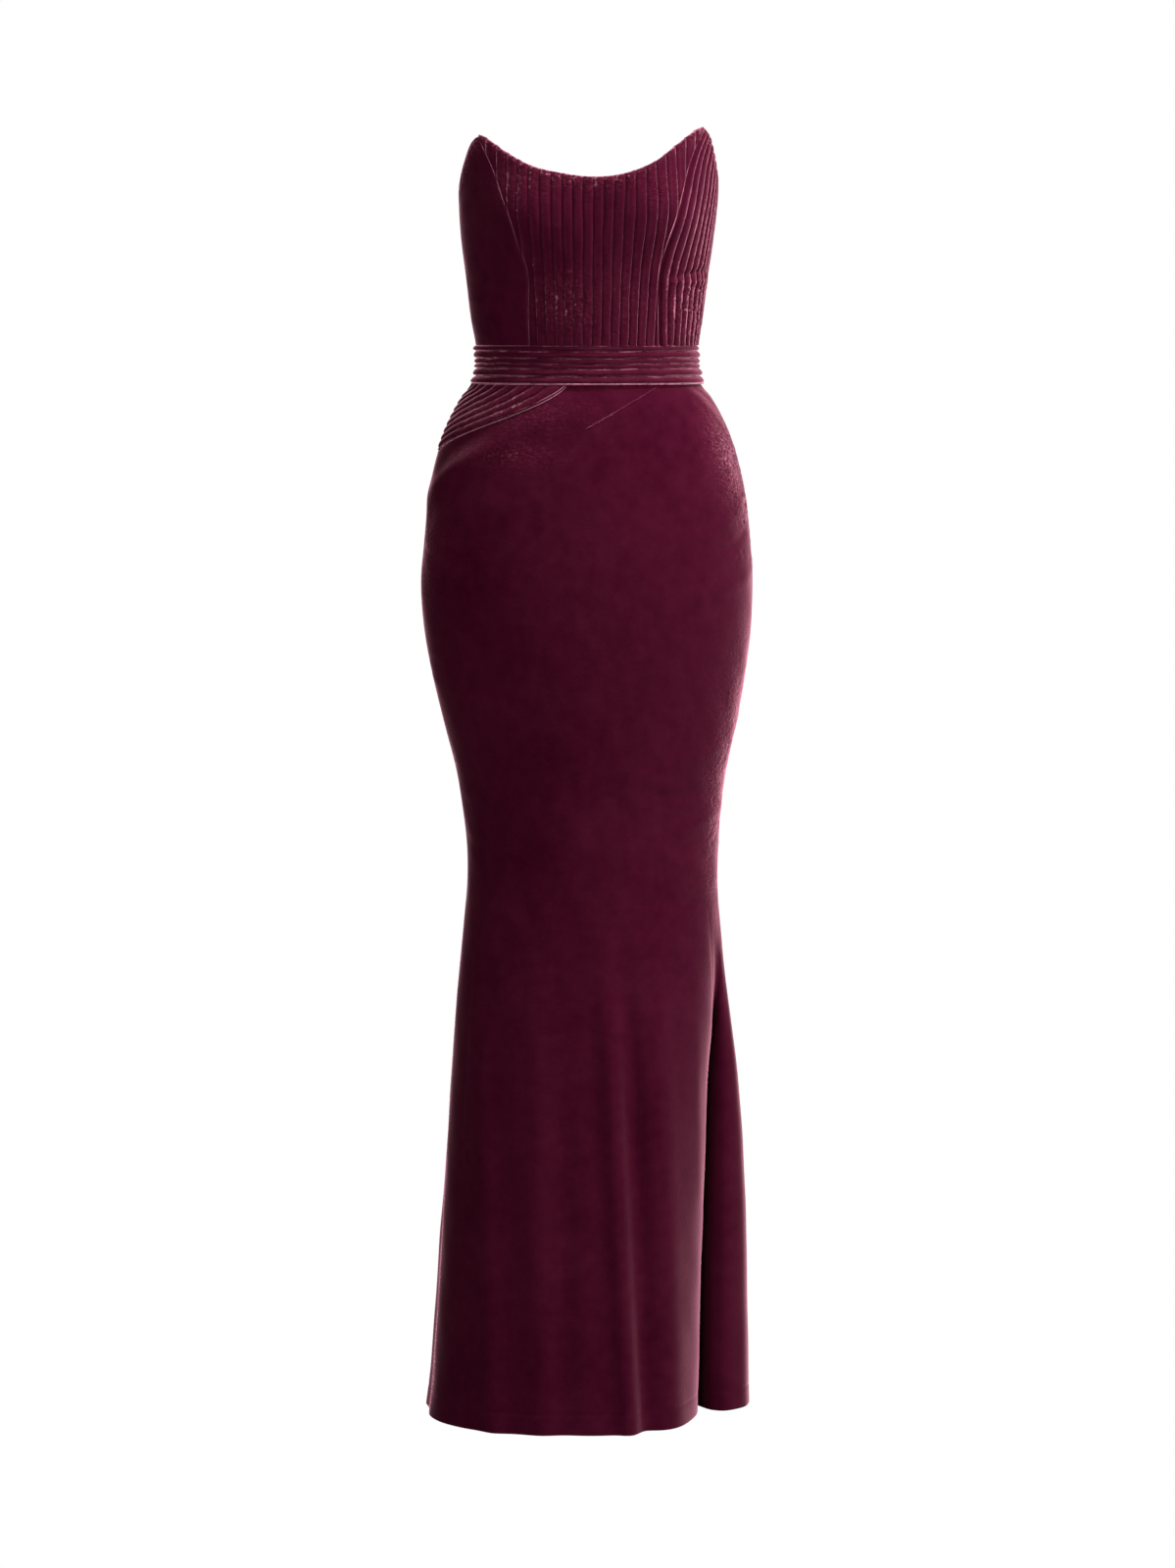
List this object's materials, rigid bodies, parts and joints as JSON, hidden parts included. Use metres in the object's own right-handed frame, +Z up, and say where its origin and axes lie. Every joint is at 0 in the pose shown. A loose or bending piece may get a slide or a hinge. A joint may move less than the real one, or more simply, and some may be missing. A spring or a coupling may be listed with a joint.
{
  "type": "strapless gown",
  "caption": "Strapless trumpet gown in velvet: channelled and ribbed bodice, tucked waistband and hip, flared skirt with a deep side fold, hollow as worn.",
  "frame": {"origin": "centre of the hollow at the middle of the waistband, where the wearer's waist holds the gown", "axes": "+Z up, front faces -Y, the wearer's left side towards +X"},
  "size_m": [0.3598, 0.3073, 1.391],
  "materials": {
    "velvet": "deep wine velvet with a soft sheen",
    "zip_tape": "plain woven tape in wine",
    "zip_metal": "metal enamelled to match the velvet"
  },
  "bodies": {
    "gown": {"bodice_centre_front": "velvet", "bodice_side_front_right": "velvet", "bodice_side_front_left": "velvet", "bodice_back_right": "velvet", "bodice_back_left": "velvet", "waistband_front": "velvet", "waistband_back_right": "velvet", "waistband_back_left": "velvet", "hip_panel_right": "velvet", "skirt_front": "velvet", "skirt_back_right": "velvet", "skirt_back_left": "velvet", "zip_tape": "zip_tape", "zip_slider": "zip_metal"},
    "zip_pull_tab": {"zip_pull": "zip_metal"}
  },
  "joints": [
    {"name": "zip_pull_swing", "type": "hinge", "parent": "gown", "child": "zip_pull_tab", "pos_m": [0, 0.1004, 0.1515], "axis": [1, 0, 0], "range_deg": [0, 150]}
  ]
}
